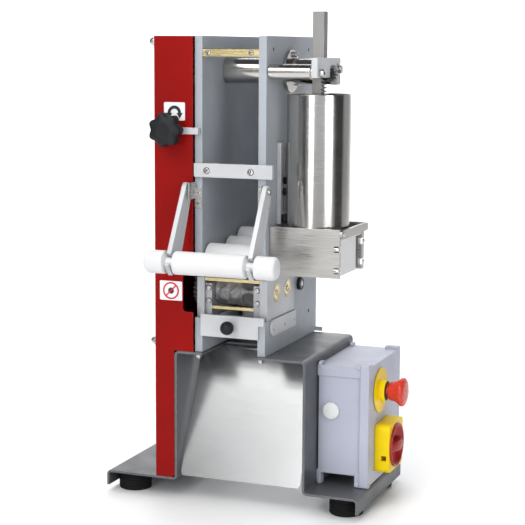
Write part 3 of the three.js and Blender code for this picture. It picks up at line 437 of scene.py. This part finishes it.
# ---- Feet ----
for index, (x, y) in enumerate([(-168, 34), (140, 34), (-168, 166), (140, 166)]):
    ribs = []
    for k in range(5):
        ribs += [(22.5, 4.2 + 3.4 * k), (21.9, 4.9 + 3.4 * k), (21.9, 5.9 + 3.4 * k), (22.5, 6.6 + 3.4 * k)]
    profile = [(0, 0), (20.5, 0), (22.0, 0.8), (22.5, 2.2), *ribs, (22.5, 23.2), (20.4, 26.7), (0, 26.7)]
    turned(f"foot_{index + 1}_ribbed", "z", profile, (x, y), "rubber", "frame", 96,
           replaces=(f"foot_{index + 1}",))

# ---- Round steel of the filling unit ----
wall = [(40.6, 359.4), (42, 359.4), (42, 545.8), (41.4, 546.6), (41.2, 546.6), (40.6, 546.0), (40.6, 359.4)]
turned("filling_cylinder_polished", "z", wall, CYLINDER, "cylinder", "frame", 160,
       replaces=("filling_cylinder",))
turned(
    "piston_disc", "z",
    [(0, 361.7), (39, 361.7), (40.1, 362.7), (40.1, 365.4), (39.2, 365.8), (39.2, 367.2), (40.1, 367.6),
     (40.1, 370.7), (37.1, 373.7), (0, 373.7)],
    CYLINDER, "white", "plunger", 128, replaces=("piston",),
)
turned(
    "support_tube_polished", "x",
    [(14, -64.8), (17, -64.8), (17, 34.6), (27.4, 34.6), (28, 35.2), (28, 38.0), (27.4, 38.6), (17, 38.6),
     (17, 93.2), (16.6, 93.7), (14, 93.7), (14, -64.8)],
    TUBE, "tube", "frame", 128, replaces=("support_tube",),
)
turned(
    "stay_rod_polished", "x",
    [(0, 34.6), (9.4, 34.6), (10, 35.2), (10, 91.0), (9.4, 91.6), (7.5, 91.6), (7.5, 93.7), (0, 93.7)],
    STAY_ROD, "tube", "frame", 96, replaces=("stay_rod",),
)

# ---- White rollers and the rolling pin ----
for place_name, (y, z) in {"front": (27, 330.5), "middle": (96, 332.1), "rear": (138, 340.5)}.items():
    profile = [(5.3, -53), (17.2, -53), (18.2, -52.6), (18.5, -51.8), (18.5, 20.8), (18.2, 21.6), (17.2, 22),
               (5.3, 22), (5.3, -53)]
    turned(f"{place_name}_roller_sleeve", "x", profile, (y, z), "white", f"{place_name}_roller", 96,
           replaces=(f"{place_name}_feed_roller",))
neck = []
for x in (-70.7, 40.7):
    neck += [(15, x - 7.6), (14.5, x - 7.1), (6.9, x - 4.9), (6.4, x - 4.4), (6.4, x + 4.4), (6.9, x + 4.9),
             (14.5, x + 7.1), (15, x + 7.6)]
turned(
    "rolling_pin_turned", "x",
    [(0, -104.7), (9.5, -104.6), (12.6, -103.6), (14.4, -101.6), (15, -99), *neck, (15, 70), (14.4, 72.4),
     (12.6, 74.4), (9.5, 75.4), (0, 75.5)],
    PIN, "white", "rolling_pin", 96, smooth=28, replaces=("rolling_pin",),
)

# ---- Knobs ----
def lobed(angle, radius):
    return radius if radius < 17 else radius + 1.9 * (radius / 20.8) * math.cos(7 * angle)


turned(
    "adjuster_knob_lobed", "y",
    [(0, 60), (3.8, 60), (3.8, -4), (9.5, -4), (10.5, -7), (12, -12.9), (18, -13), (20.0, -13.6), (20.8, -15),
     (20.8, -26), (20.2, -27.8), (18.4, -29), (14, -30.6), (9, -31.2), (8.6, -30.9), (0, -30.9)],
    ADJUSTER, "black", "adjuster", 168, shape=lobed, replaces=("adjuster_knob",),
)
ball = [(0, -20.5)] + [
    (9 * math.cos(math.radians(a)), -11.5 + 9 * math.sin(math.radians(a))) for a in range(-82, 66, 8)
]
turned("panel_knob_ball", "y", ball + [(4, -3.4), (4, 1.7), (0, 1.7)], (-12, 243.5), "black", "mould", 64,
       replaces=("panel_knob",))

# ---- Acorn nuts that hold the gear cover ----
dome = [
    (5.6 * math.cos(math.radians(a)), -127.6 - 6.6 * math.sin(math.radians(a))) for a in range(0, 90, 10)
]
profile = [(0, -65.4), (2.3, -65.4), (2.3, -120.8), (7, -120.8), (7, -122.2), (5.6, -122.2),
           *dome, (0, -134.2)]
for count, (y, z) in enumerate(((16, 213.7), (16, 613), (184, 213.7), (184, 613)), 1):
    turned(f"cover_nut_{count}", "x", profile, (y, z), "zinc", "frame", 48,
           replaces=(f"cover_stud_{count}",))
    hexagon = [dot(60 * i + 12, 6.6, (y, z)) for i in range(6)]
    prism(f"cover_nut_hex_{count}", "x", hexagon, -127.8, -122.3, "zinc", "frame", 0.5)

# ---- Stop button and main switch ----
turned(
    "stop_plate_yellow", "x",
    [(8.5, 155), (10.6, 155), (10.6, 164.8), (29.4, 164.8), (30, 165.3), (30, 166.2), (29.5, 166.8),
     (15.2, 166.8), (14.8, 167.2), (14.6, 168), (13.8, 173.6), (13.2, 174.5), (8.5, 174.5), (8.5, 155)],
    STOP, "yellow", "frame", 96, replaces=("stop_collar",),
)
turned(
    "stop_skirt", "x",
    [(8.7, 166.9), (13.0, 174.6), (13.2, 174.7), (13.2, 174.9), (8.7, 174.9), (8.7, 166.9)],
    STOP, "black", "frame", 64,
)
turned(
    "stop_mushroom", "x",
    [(0, 158), (8, 158), (8, 179), (11.9, 179), (12.4, 179.6), (12.8, 183), (13.7, 187), (15.4, 190.2),
     (17.6, 192.8), (18.9, 194.6), (19.2, 196.2), (18.9, 197.8), (17.6, 199.2), (15, 200.2),
     (9, 200.9), (0, 201)],
    STOP, "stop", "stop", 96, replaces=("stop_button",),
)
turned(
    "switch_dial", "x",
    [(0, 158), (4.8, 158), (4.8, 177), (27.6, 177), (28.6, 177.8), (29.0, 184), (29.3, 187.2), (28.7, 188),
     (27.6, 188), (26.8, 187.4), (25.4, 182.6), (22, 180.4), (14, 179.6), (0, 179.4)],
    SWITCH, "dial", "main_switch", 96, smooth=50, replaces=("main_switch_handle",),
)
y, z = SWITCH
grip = [(179.5, y - 25), (179.5, y + 25), (184, y + 24), (188.5, y + 19), (192.0, y + 10),
        (193.0, y), (192.0, y - 10), (188.5, y - 19), (184, y - 24)]
prism("switch_grip", "z", grip, z - 5.6, z + 5.6, "dial", "main_switch", 2.2, smooth=40)

# ---- Front mould drum: round pockets at the right, a waved relief elsewhere ----
DRUM_RADIUS, DRUM_END_RADIUS, DRUM_SHAFT_RADIUS = 19.7, 18.9, 8
DRUM_FROM, DRUM_TO = -46.6, 12.2
DRUM_SHAFT_FROM, DRUM_SHAFT_TO = -68.9, 33.3
POCKETS, POCKET_X, POCKET_RADIUS, POCKET_DEPTH, POCKET_PHASE = 5, 1.6, 10.4, 5.0, 0.85
RIM_RADIUS, RIM_DEPTH = 11.6, 0.7
WAVES_TO, WAVE_DEPTH = -9.5, 0.9


def drum_radius(x, angle):
    """The drum's radius in millimetres at a place along it: pockets in one column, waves in the rest."""
    radius = DRUM_RADIUS
    across = angle * DRUM_RADIUS
    for row in range(POCKETS):
        middle = TURN * (row + 0.5) / POCKETS + POCKET_PHASE + math.pi / 2 - math.pi
        gap = (angle - middle + math.pi) % TURN - math.pi
        far = math.hypot(x - POCKET_X, gap * DRUM_RADIUS)
        if far < POCKET_RADIUS:
            radius -= POCKET_DEPTH * (1 - (far / POCKET_RADIUS) ** 2) ** 0.5
        elif far < RIM_RADIUS:
            radius -= RIM_DEPTH
    if x < WAVES_TO:
        wave = math.sin(x * 0.42 + 1.6 * math.sin(across * 0.21))
        wave += 0.7 * math.sin(across * 0.5 + 0.9 * math.sin(x * 0.3))
        radius -= WAVE_DEPTH * max(0.0, min(1.0, 0.5 + wave))
    return radius


def relief_drum():
    columns, around = 150, 240
    x0, x1 = DRUM_FROM, DRUM_TO
    cy, cz = FRONT_DRUM
    vertices, faces = [], []
    for x in [(x0 + (x1 - x0) * i / columns) for i in range(columns + 1)]:
        for k in range(around):
            angle = TURN * k / around
            rim = min(1.0, (x - x0 + 0.2) / 0.8, (x1 - x + 0.2) / 0.8)
            r = drum_radius(x, angle)
            if rim < 1:
                r = DRUM_END_RADIUS + (r - DRUM_END_RADIUS) * rim
            vertices.append((x, cy + r * math.cos(angle), cz + r * math.sin(angle)))
    for i in range(columns):
        for k in range(around):
            j = (k + 1) % around
            faces.append((i * around + k, i * around + j, (i + 1) * around + j, (i + 1) * around + k))
    for ring, x, reach in ((0, x0, DRUM_SHAFT_FROM), (columns, x1, DRUM_SHAFT_TO)):
        inner = len(vertices)
        for where in (x, reach):
            for k in range(around):
                angle = TURN * k / around
                vertices.append((
                    where,
                    cy + DRUM_SHAFT_RADIUS * math.cos(angle),
                    cz + DRUM_SHAFT_RADIUS * math.sin(angle),
                ))
        for k in range(around):
            j = (k + 1) % around
            faces.append((ring * around + k, ring * around + j, inner + j, inner + k))
            faces.append((inner + k, inner + j, inner + around + j, inner + around + k))
        faces.append(tuple(inner + around + k for k in range(around)))
    add("front_drum_relief", vertices, faces, "drum", "front_drum", smooth=50, replaces=("front_mould_drum",))
    gear = []
    for i in range(20):
        middle = TURN * i / 20 + math.pi / 20
        for r, share in ((17.5, -0.58), (21.86, -0.2), (21.86, 0.2), (17.5, 0.58)):
            a = middle + share * math.pi / 20
            gear.append((cy + r * math.cos(a), cz + r * math.sin(a)))
    prism("front_drum_gear", "x", gear, -78, -69, "drum", "front_drum", 0.25)


relief_drum()

# ---- Screws, bushings and small fittings ----
for i, x in enumerate((-46.1, 15.4)):
    slotted_screw(f"cross_bar_screw_{i + 1}", "y", 0, -1, (x, 447), 3.9, "zinc", "frame", 30 + 45 * i)
    seat(f"cross_bar_seat_{i + 1}", "y", 0, -1, (x, 447), 4.5, "frame")
for i, x in enumerate((-46.6, 13)):
    slotted_screw(f"guide_bar_screw_{i + 1}", "y", 6, -1, (x, 598.7), 3.1, "zinc", "frame", 70 - 50 * i, 0.9)
    seat(f"guide_bar_seat_{i + 1}", "y", 6, -1, (x, 598.7), 3.6, "frame")
for i, y in enumerate((49, 89)):
    turned(f"drum_bushing_{i + 1}", "x",
           [(3.6, 31.2), (11.5, 31.2), (11.5, 34.4), (11.1, 34.8), (4.2, 34.8), (3.6, 34.4), (3.6, 31.2)],
           (y, 284.9), "brass", "mould", 64)
    socket_screw(f"drum_screw_{i + 1}", "x", 34.0, 1, (y, 284.9), 3.5, "zinc", "mould", 1.6)
    # Painted shade: a ring of small dark dots paints the shade in pits on each bushing's face.
    for k in range(16):
        at = dot(360 * k / 16, 9.6, (y, 284.9))
        turned(f"drum_bushing_{i + 1}_pit_{k}", "x", [(0, 34.7), (0.6, 34.7), (0.6, 34.95), (0, 34.95)], at,
               "dark", "mould", 10)
for i, (x, z) in enumerate(((-51, 273), (-51, 290), (18, 273), (18, 290))):
    socket_screw(f"block_screw_{i + 1}", "y", 20, -1, (x, z), 3.2, "zinc", "mould", 2.4, 1.7)
    seat(f"block_seat_{i + 1}", "y", 20, -1, (x, z), 3.8, "mould")
turned("drive_shaft_cap", "x",
       [(4.3, 34.7), (8.9, 34.7), (8.9, 38.6), (8.3, 39.3), (5.0, 39.3), (4.3, 38.4), (4.3, 34.7)],
       DRIVE_SHAFT, "black_steel", "drive", 64)
socket_screw("drive_shaft_screw", "x", 38.9, 1, DRIVE_SHAFT, 4.0, "zinc", "drive", 0.8, 2.2)
socket_screw("head_rod_screw", "x", 102, 1, (18, 574), 5.2, "tube", "frame", 6.0)
for k, degrees in enumerate((75, 195, 315)):
    at = dot(degrees, 22.2, TUBE)
    socket_screw(f"flange_screw_{k + 1}", "x", 38.6, 1, at, 3.8, "zinc", "frame", 4.2, 2.0)
turned("head_tube_washer", "x", [(0, 102), (8.2, 102), (8.2, 103), (7.9, 103.3), (0, 103.3)],
       TUBE_BOLT, "zinc", "frame", 48)
prism("head_tube_bolt", "x", [dot(60 * i, 6.0, TUBE_BOLT) for i in range(6)],
      103.3, 107, "zinc", "frame", 0.4)
for i, z in enumerate((322.8, 350.5)):
    socket_screw(f"filler_cap_screw_{i + 1}", "x", 123.7, 1, (20.6, z), 3.5, "tube", "frame", 6.6, 1.8)
    socket_screw(f"filler_rear_screw_{i + 1}", "x", 130.9, 1, (118, z), 3.4, "tube", "frame", 1.6, 1.8)
slotted_screw("filler_corner_screw", "y", 18.5, -1, (39.5, 319), 2.6, "zinc", "frame", 30, 0.8)
turned("filler_tie_rod", "y", [(0, 23.7), (1.6, 23.7), (1.6, 112.8), (0, 112.8)],
       (128.9, 361.5), "tube", "frame", 32)
socket_screw("latch_pivot_screw", "x", 135.2, 1, (21, 370), 3.0, "zinc", "latch", 1.6, 1.4)
for i, z in enumerate((432.5, 418)):
    socket_screw(f"rail_screw_{i + 1}", "x", 38.7, 1, (60.8, z), 4.6, "black_steel", "frame", 3.2)
prism("rail_slot_shade", "x", rounded(57.8, 63.2, 392.4, 475.6, 2.6), 35.0, 35.4, "dark", "frame", 0)
block("rail_stop_block", 38.7, 45, 52, 69, 376.6, 388, "black_steel", "frame", 0.5)
# Painted shade: flat dark discs on the plate's face paint the shade inside its holes.
for i, (y, z) in enumerate(((31.7, 603.2), (165.3, 603), (175.3, 239.4))):
    turned(f"plate_hole_shade_{i + 1}", "x", [(0, 32.6), (2.8, 32.6), (2.8, 33.4), (0, 33.4)],
           (y, z), "dark", "frame", 24)
for side, x in (("left", -59), ("right", 29.5)):
    for k, z in enumerate((403.5, 418)):
        slotted_screw(f"{side}_hinge_screw_{k + 1}", "y", 4, -1, (x, z), 2.6, "zinc", "frame",
                      15 + 60 * k, 0.9)
for side, x, out in (("left", -75.7, -1), ("right", 45.7, 1)):
    slotted_screw(f"{side}_pivot_screw", "x", x, out, (-9, 423.5), 3.6, "zinc", "frame", 50, 1.0)

# ---- Hexagon nuts under the stand's top, which hold the side plates ----
for side, x in (("left", -60.5), ("right", 28.0)):
    hexagon = [dot(60 * k, 4.6, (x, 8)) for k in range(6)]
    prism(f"stand_nut_{side}", "z", hexagon, 198.0, 201.9, "zinc", "frame", 0.4)
    turned(f"stand_bolt_{side}", "z", [(0, 196.4), (2.3, 196.4), (2.3, 198.0), (0, 198.0)],
           (x, 8), "zinc", "frame", 24)

# ---- Switch box: plug, lid screws ----
turned(
    "blanking_plug", "y",
    [(0, 44.4), (9.6, 44.4), (10.8, 45.0), (11.3, 46.2), (11.3, 48.0), (11.0, 49.2), (0, 49.2)],
    (112.6, 131.9), "white", "frame", 64,
)
for i, (y, z) in enumerate(((53.5, 34.3), (185.5, 34.3), (53.5, 192.75), (185.5, 192.75))):
    slotted_screw(f"lid_screw_{i + 1}", "x", 164.5, 1, (y, z), 2.8, "zinc", "frame", 45, 0.4)

# ---- Labels on the gear cover: generic signs with no lettering ----
def sign(name, outline, look, depth):
    return prism(name, "y", outline, -depth, -0.05, look, "frame", 0)


def ring_outline(cx, cz, outer, inner, start, end, steps=28):
    return arc(cx, cz, outer, start, end, steps) + arc(cx, cz, inner, end, start, steps)


TURN_SIGN, CAUTION_SIGN = (-91.5, 520.8), (-97.2, 286)
SLANT = 0.707
sign("turn_label", rounded(-106.5, -76.5, 511, 534.6, 1.5), "label", 0.25)
sign("turn_label_arc", ring_outline(*TURN_SIGN, 9.6, 5.4, 0, 180), "label_black", 0.4)
for k, cx in enumerate((-99.0, -84.0)):
    sign(f"turn_label_tip_{k + 1}", [(cx - 4.4, 520.9), (cx + 4.4, 520.9), (cx, 513.6)], "label_black", 0.4)
sign("caution_label", rounded(-113.4, -81, 273, 299, 1.5), "label", 0.25)
sign("caution_ring_left", ring_outline(*CAUTION_SIGN, 11.6, 9.4, 90, 270), "label_red", 0.4)
sign("caution_ring_right", ring_outline(*CAUTION_SIGN, 11.6, 9.4, -90, 90), "label_red", 0.4)
bar = [
    (CAUTION_SIGN[0] + u * SLANT - v * SLANT, CAUTION_SIGN[1] + u * SLANT + v * SLANT)
    for u, v in ((-10, -1), (10, -1), (10, 1), (-10, 1))
]
sign("caution_bar", bar, "label_red", 0.45)
sign("caution_dot", arc(*CAUTION_SIGN, 4.2, 0, 350, 24), "label_black", 0.35)


# ---- Stage, lights and camera ----
def stage_sweep():
    """A pale floor that curves up into a backdrop well behind the machine."""
    n = Nodes("pale_floor")
    speck = n.noise(420.0, detail=3.0)
    cloud = n.noise(3.0, detail=3.0)
    base = n.mix(n.spread(cloud, 0.3, 0.7), (0.88, 0.88, 0.88), (0.91, 0.91, 0.91))
    material = n.finish(base, n.spread(cloud, 0.3, 0.7, 0.50, 0.60), n.bump(speck, 0.00002, 0.3))
    profile = [(-4.0, 0.0), (2.6, 0.0)]
    profile += [
        (2.6 + 1.0 * math.sin(math.radians(a)), 1.0 - 1.0 * math.cos(math.radians(a)))
        for a in range(6, 91, 6)
    ]
    profile.append((3.6, 4.5))
    mesh = bpy.data.meshes.new("stage_sweep")
    vertices = [(x, y, z) for y, z in profile for x in (-5.0, 5.0)]
    faces = [(2 * i, 2 * i + 1, 2 * i + 3, 2 * i + 2) for i in range(len(profile) - 1)]
    mesh.from_pydata(vertices, [], faces)
    mesh.shade_smooth()
    mesh.materials.append(material)
    floor = bpy.data.objects.new("stage_sweep", mesh)
    floor.rotation_euler[2] = math.radians(18)
    bpy.context.scene.collection.objects.link(floor)


stage_sweep()


def soft_light(name, at, aim, size, power, mirrored=True):
    data = bpy.data.lights.new(name, "AREA")
    data.shape = "RECTANGLE"
    data.size, data.size_y = size
    data.energy = power
    lamp = bpy.data.objects.new(name, data)
    lamp.location = at
    lamp.visible_glossy = mirrored
    lamp.rotation_euler = (Vector(aim) - Vector(at)).to_track_quat("-Z", "Y").to_euler()
    bpy.context.scene.collection.objects.link(lamp)


soft_light("key_left", (-0.23, -2.19, 0.85), (0, 0, 0.5), (0.55, 1.4), 13)
soft_light("key_right", (1.82, -1.23, 0.85), (0, 0, 0.5), (1.0, 1.4), 15)
soft_light("front_top", (-0.5, -1.7, 2.1), (0, 0, 0.3), (1.7, 1.0), 23)
soft_light("overhead", (-0.1, 0.1, 2.3), (0, 0, 0.2), (1.8, 1.8), 36, mirrored=False)
soft_light("chute_panel", (-0.80, -1.57, 1.40), (0, -0.02, 0.10), (1.6, 1.1), 4.6)
soft_light("backdrop", (-0.4, 1.9, 2.4), (-1.0, 3.4, 0.4), (3.2, 1.0), 75)


def dark_flag(name, azimuth, distance, width, height, grey):
    """A dark cloth beside the lights that the polished steel mirrors. The camera doesn't see it."""
    n = Nodes(name)
    weave = n.noise(260.0, detail=2.0)
    base = n.mix(n.spread(weave, 0.35, 0.65), (grey, grey, grey), (grey * 1.3, grey * 1.3, grey * 1.35))
    material = n.finish(base, n.spread(weave, 0.3, 0.7, 0.85, 0.95), n.bump(weave, 0.0005, 0.4))
    a = math.radians(azimuth)
    across = Vector((-math.sin(a), math.cos(a), 0)) * width / 2
    foot = Vector((math.cos(a), math.sin(a), 0)) * distance + Vector((0, 0, 0.002))
    rise = Vector((0, 0, height))
    corners = [foot - across, foot + across, foot + across + rise, foot - across + rise]
    mesh = bpy.data.meshes.new(name)
    mesh.from_pydata(corners, [], [(0, 1, 2, 3)])
    mesh.materials.append(material)
    cloth = bpy.data.objects.new(name, mesh)
    cloth.visible_camera = False
    cloth.visible_shadow = False
    bpy.context.scene.collection.objects.link(cloth)


dark_flag("flag_right", 5, 1.7, 0.95, 1.1, 0.03)
dark_flag("flag_left", -122, 1.9, 0.42, 1.1, 0.04)
dark_flag("flag_far_left", -172, 1.7, 1.7, 1.0, 0.12)


def studio_world():
    """Grey surroundings whose brightness changes round the horizon, as in a studio with dark gaps
    between its light walls. Where the camera sees past the floor it is plain and pale."""
    made = bpy.data.worlds.new("studio")
    made.use_nodes = True
    tree = made.node_tree
    link = tree.links.new
    split = tree.nodes.new("ShaderNodeSeparateXYZ")
    link(tree.nodes.new("ShaderNodeTexCoord").outputs["Generated"], split.inputs[0])
    heading = tree.nodes.new("ShaderNodeMath")
    heading.operation = "ARCTAN2"
    link(split.outputs[1], heading.inputs[0])
    link(split.outputs[0], heading.inputs[1])
    share = tree.nodes.new("ShaderNodeMapRange")
    link(heading.outputs[0], share.inputs["Value"])
    share.inputs["From Min"].default_value = -math.pi
    share.inputs["From Max"].default_value = math.pi
    ramp = tree.nodes.new("ShaderNodeValToRGB")
    link(share.outputs[0], ramp.inputs[0])
    stops = ((-180, 0.22), (-140, 0.20), (-122, 0.10), (-112, 0.30), (-84, 0.60), (-48, 0.60), (-20, 0.40),
             (-12, 0.05), (18, 0.05), (32, 0.36), (95, 0.50), (180, 0.22))
    elements = ramp.color_ramp.elements
    for spot, (degrees, grey) in enumerate(stops):
        at = (degrees + 180) / 360
        element = elements[spot] if spot < 2 else elements.new(at)
        element.position = at
        element.color = (grey * 0.95, grey * 0.98, grey * 1.04, 1)
    surround = tree.nodes["Background"]
    ceiling = tree.nodes.new("ShaderNodeMapRange")
    link(split.outputs[2], ceiling.inputs["Value"])
    for key, number in zip(("From Min", "From Max", "To Min", "To Max"), (0.4, 0.7, 1.1, 0.3)):
        ceiling.inputs[key].default_value = number
    link(ceiling.outputs[0], surround.inputs["Strength"])
    link(ramp.outputs[0], surround.inputs[0])
    pale = tree.nodes.new("ShaderNodeBackground")
    pale.inputs[0].default_value = (0.93, 0.93, 0.94, 1)
    choose = tree.nodes.new("ShaderNodeMixShader")
    link(tree.nodes.new("ShaderNodeLightPath").outputs["Is Camera Ray"], choose.inputs[0])
    link(surround.outputs[0], choose.inputs[1])
    link(pale.outputs[0], choose.inputs[2])
    link(choose.outputs[0], tree.nodes["World Output"].inputs[0])
    bpy.context.scene.world = made


studio_world()

YAW, PITCH, ROLL = (math.radians(a) for a in (21.319, 8.336, 0.337))
ahead = Vector((-math.sin(YAW) * math.cos(PITCH), math.cos(YAW) * math.cos(PITCH), -math.sin(PITCH)))
right = Vector((math.cos(YAW), math.sin(YAW), 0))
up = right.cross(ahead)
right_rolled = right * math.cos(ROLL) + up * math.sin(ROLL)
up_rolled = up * math.cos(ROLL) - right * math.sin(ROLL)
camera_data = bpy.data.cameras.new("camera")
camera_data.sensor_width = 36
camera_data.lens = 1459.47 / 525 * 36
camera_data.clip_start, camera_data.clip_end = 0.05, 30
camera = bpy.data.objects.new("camera", camera_data)
turn = Matrix((right_rolled, up_rolled, -ahead)).transposed().to_4x4()
camera.matrix_world = Matrix.Translation(place(710.0, -1735.4, 604.2)) @ turn
bpy.context.scene.collection.objects.link(camera)
bpy.context.scene.camera = camera
bpy.context.scene.view_settings.view_transform = "Standard"
bpy.context.scene.view_settings.look = "None"
bpy.context.scene.view_settings.exposure = 0.0

bpy.context.view_layer.update()
